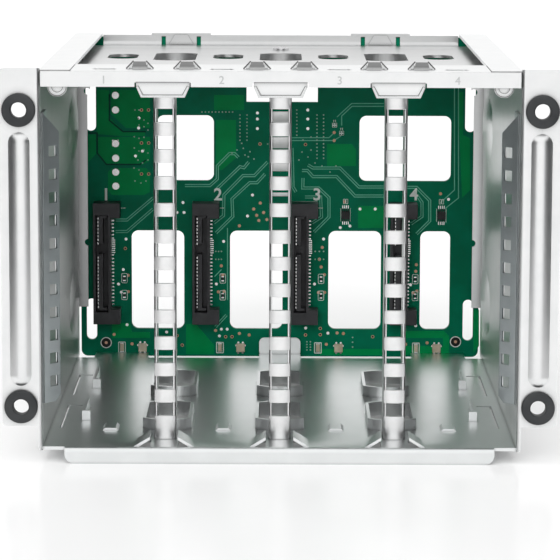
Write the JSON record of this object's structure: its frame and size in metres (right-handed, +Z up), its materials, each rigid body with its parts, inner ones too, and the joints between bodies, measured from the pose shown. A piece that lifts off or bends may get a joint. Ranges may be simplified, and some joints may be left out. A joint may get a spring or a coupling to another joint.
{
  "type": "hot swap drive cage",
  "caption": "Open-front sheet-steel cage that holds hot-swap drives upright between slotted posts, with mounting ears, rubber grommets and a green backplane board at the rear.",
  "frame": {"origin": "bottom centre of the cage's bounding box, on the surface it stands on", "axes": "+Y runs front to rear along the bays, +Z up, +X to the right seen from the front"},
  "size_m": [0.168, 0.1822, 0.1219],
  "materials": {
    "zinc_plated_steel": "satin",
    "green_circuit_board": "gloss",
    "black_connector_plastic": "matte",
    "black_chip_plastic": "matte",
    "white_header_plastic": "matte",
    "led_ceramic": "satin",
    "solder": "satin",
    "tinned_shell": "satin",
    "grey_rubber": "matte",
    "screw_steel": "gloss"
  },
  "bodies": {
    "root": {"floor_pan": "zinc_plated_steel", "side_wall_left": "zinc_plated_steel", "side_wall_right": "zinc_plated_steel", "top_plate": "zinc_plated_steel", "contact_strip_left": "zinc_plated_steel", "contact_strip_right": "zinc_plated_steel", "divider_post_1": "zinc_plated_steel", "divider_post_2": "zinc_plated_steel", "divider_post_3": "zinc_plated_steel", "backplane_board": "green_circuit_board", "drive_connector_1": "black_connector_plastic", "connector_contacts_1": "solder", "activity_led_1": "led_ceramic", "status_led_1": "led_ceramic", "drive_connector_2": "black_connector_plastic", "connector_contacts_2": "solder", "activity_led_2": "led_ceramic", "status_led_2": "led_ceramic", "drive_connector_3": "black_connector_plastic", "connector_contacts_3": "solder", "activity_led_3": "led_ceramic", "status_led_3": "led_ceramic", "drive_connector_4": "black_connector_plastic", "connector_contacts_4": "solder", "activity_led_4": "led_ceramic", "status_led_4": "led_ceramic", "grommet_lower_left": "grey_rubber", "grommet_lower_right": "grey_rubber", "grommet_upper_left": "grey_rubber", "grommet_upper_right": "grey_rubber", "driver_chip_1": "black_chip_plastic", "driver_chip_2": "black_chip_plastic", "chip_components": "led_ceramic", "sas_receptacle_shell": "tinned_shell", "sas_receptacle_core": "black_connector_plastic", "power_header": "white_header_plastic", "power_header_pins": "solder", "plate_screw": "screw_steel"}
  },
  "joints": []
}
